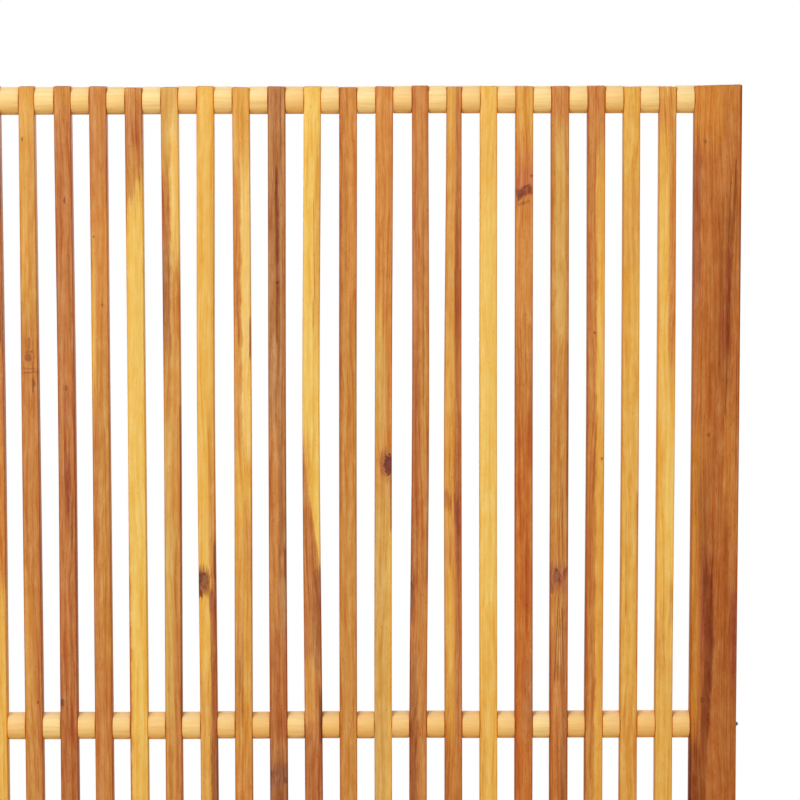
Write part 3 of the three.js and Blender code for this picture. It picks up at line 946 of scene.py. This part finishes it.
def makeZincSteel():
    material, tree, add, shader = startMaterial("dulled zinc-plated steel")
    place = add("TexCoord").outputs["Object"]
    clouds = add("TexNoise", {"Vector": place, "Scale": zincSteel["cloudScale"], "Detail": 4})
    tone = add("Mix", {0: clouds, 6: linear(zincSteel["bright"]), 7: linear(zincSteel["dull"])},
               data_type="RGBA")
    finishMaterial(tree, shader, zincSteel, tone.outputs[2], clouds)
    shader.inputs["Metallic"].default_value = 1.0
    return material


rodShape = dict(
    diameter=3.9 * mm,
    tip=1.3 * mm,          # chamfer at each end
    threadPitch=0.7 * mm,
    threadLength=10.5 * mm,
    threadRoot=0.82,       # width between the threads as a share of the diameter
    sides=20,
)
washerShape = dict(diameter=8.9 * mm, thickness=0.8 * mm, eased=0.12 * mm, hole=4.4 * mm, sides=32)
nutShape = dict(flats=6.9 * mm, height=3.2 * mm, turned=0.55 * mm, hole=4.2 * mm)
sag = 0.4 * mm             # the rods lie on the bottom of their holes
looseTurn = 0.14           # radians that each piece may be turned, about 8 degrees


def addRod():
    # a round rod along X, with grooves for the thread at both ends
    low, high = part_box("tie_rod_1")
    length = high.x - low.x
    rod = addRound("rod_blank", rodShape["diameter"], length, rodShape["sides"])
    settle()
    bevelRims(rodShape["tip"], segments=1)
    pitch = rodShape["threadPitch"]
    grooves = int((rodShape["threadLength"] - rodShape["tip"]) / pitch)
    start = length / 2 - rodShape["tip"]
    for side in (-1, 1):
        for half in range(1, 2 * grooves + 2):
            bpy.ops.mesh.select_all(action="SELECT")
            bpy.ops.mesh.bisect(plane_co=(side * (start - half * pitch / 2), 0, 0), plane_no=(1, 0, 0))
    endEdit()
    roots = [start - (groove + 0.5) * pitch for groove in range(grooves + 1)]
    pickPoints(rod, lambda place: any(abs(abs(place.x) - root) < 0.05 * mm for root in roots))
    bpy.ops.transform.resize(value=(1, rodShape["threadRoot"], rodShape["threadRoot"]),
                             center_override=(0, 0, 0))
    endEdit()
    return rod


def addNut():
    # a hexagon along X, its corners turned down at both faces
    corners = nutShape["flats"] / math.cos(math.pi / 6)  # from corner to corner
    nut = addRound("nut_blank", corners, nutShape["height"], sides=6)
    settle()
    turned = addRound("turned", corners * 1.01, nutShape["height"], sides=36)  # a hair wider
    bevelRims(nutShape["turned"], segments=1)
    endEdit()
    combine(nut, turned, "INTERSECT")
    bore(nut, nutShape["hole"], 4 * nutShape["height"], [(0, 0, 0)])
    return nut


zincMaterial = makeZincSteel()
fasteners = dict(
    tie_rod=addRod(),
    washer=addRing("washer_blank", washerShape["diameter"], washerShape["thickness"], washerShape["eased"],
                   washerShape["hole"], washerShape["sides"]),
    nut=addNut(),
)
for kind, blank in fasteners.items():
    for nodeName in sorted(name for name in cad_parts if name.startswith(kind)):
        piece = copyOf(blank, "steel_" + nodeName)
        piece.data.transform(Matrix.Rotation(chance.uniform(-looseTurn, looseTurn), 4, "X"))
        piece.data.transform(Matrix.Translation(middleOf(nodeName) - Vector((0, 0, sag))))
        finishPiece(piece, zincMaterial, nodeName, smoothTo=32)
    remove(blank)
print("metalwork done")


studio = dict(
    floorSize=30.0,
    floorDrop=0.5 * mm,            # of the floor under the panel
    floorColour="#E9E8E6",
    floorRoughness=0.8,
    fadeStart=1.3, fadeStop=3.4,   # metres out, where the floor turns to the white of the backdrop
    ambient=0.27,
    aimHeight=1.1,                 # of the point that the lamps face
)
pureWhite = (1, 1, 1, 1)


def makeFloor():
    clearSelection()
    bpy.ops.mesh.primitive_plane_add(size=studio["floorSize"], location=(0, 0, -studio["floorDrop"]))
    floor = bpy.context.object
    floor.name = "floor"
    material, tree, add, shader = startMaterial("plain pale floor")
    shader.inputs["Base Color"].default_value = linear(studio["floorColour"])
    shader.inputs["Roughness"].default_value = studio["floorRoughness"]
    place = add("TexCoord").outputs["Object"]
    out = add("VectorMath", [place], operation="LENGTH").outputs["Value"]
    fade = add("MapRange", [out, studio["fadeStart"], studio["fadeStop"]], interpolation_type="SMOOTHSTEP")
    path = add("LightPath").outputs
    seen = add("Math", [fade, path["Is Camera Ray"]], operation="MULTIPLY")
    white = add("Emission", {"Color": pureWhite, "Strength": 1.0})
    both = add("MixShader", [seen, shader, white])
    tree.links.new(both.outputs[0], tree.nodes["Material Output"].inputs["Surface"])
    floor.data.materials.append(material)


def makeWorld():
    # a soft light all round, and plain white wherever the camera or a reflection sees it
    world = bpy.data.worlds.new("studio")
    bpy.context.scene.world = world
    world.use_nodes = True
    tree = world.node_tree
    add = partial(addNode, tree)
    path = add("LightPath").outputs
    shown = path["Is Camera Ray"]
    for ray in ("Is Glossy Ray", "Is Transmission Ray"):
        shown = add("Math", [shown, path[ray]], operation="MAXIMUM")
    light = tree.nodes["Background"]
    light.inputs["Color"].default_value = pureWhite
    light.inputs["Strength"].default_value = studio["ambient"]
    backdrop = add("Background", {"Color": pureWhite, "Strength": 1.0})
    both = add("MixShader", [shown, light, backdrop])
    tree.links.new(both.outputs[0], tree.nodes["World Output"].inputs["Surface"])


# Soft boxes: place, size and power. The main one stands to the upper left in front.
softBoxes = dict(
    main=dict(place=(-2.4, -4.3, 3.1), size=1.4, watts=105),
    fill=dict(place=(2.8, -4.2, 1.6), size=2.4, watts=47),
    over=dict(place=(-0.6, -1.0, 4.2), size=1.4, watts=29),
    back=dict(place=(1.2, 3.4, 3.0), size=2.4, watts=54),
)


def makeLights():
    for name, box in softBoxes.items():
        lamp = bpy.data.lights.new(name, "AREA")
        lamp.shape = "SQUARE"
        lamp.size = box["size"]
        lamp.energy = box["watts"]
        lightObject = bpy.data.objects.new(name, lamp)
        lightObject.location = box["place"]
        toward = Vector((0, 0, studio["aimHeight"])) - lightObject.location
        lightObject.rotation_euler = toward.to_track_quat("-Z", "Y").to_euler()
        lightObject.visible_camera = False
        bpy.context.collection.objects.link(lightObject)


# Set from where the slats' edges and the rows cross the picture: metres, degrees and millimetres.
view = dict(place=(0.1207, -3.7007, 1.9026), down=6.136, turn=-0.186, roll=0.143, lens=178.2)


def makeCamera():
    lens = bpy.data.cameras.new("camera")
    lens.lens = view["lens"]
    lens.sensor_width = 36
    camera = bpy.data.objects.new("camera", lens)
    camera.location = view["place"]
    degrees = (90 - view["down"], view["roll"], view["turn"])
    camera.rotation_euler = [math.radians(angle) for angle in degrees]
    bpy.context.collection.objects.link(camera)
    bpy.context.scene.camera = camera


makeFloor()
makeWorld()
makeLights()
makeCamera()
bpy.context.scene.view_settings.view_transform = "Standard"
print("studio done")
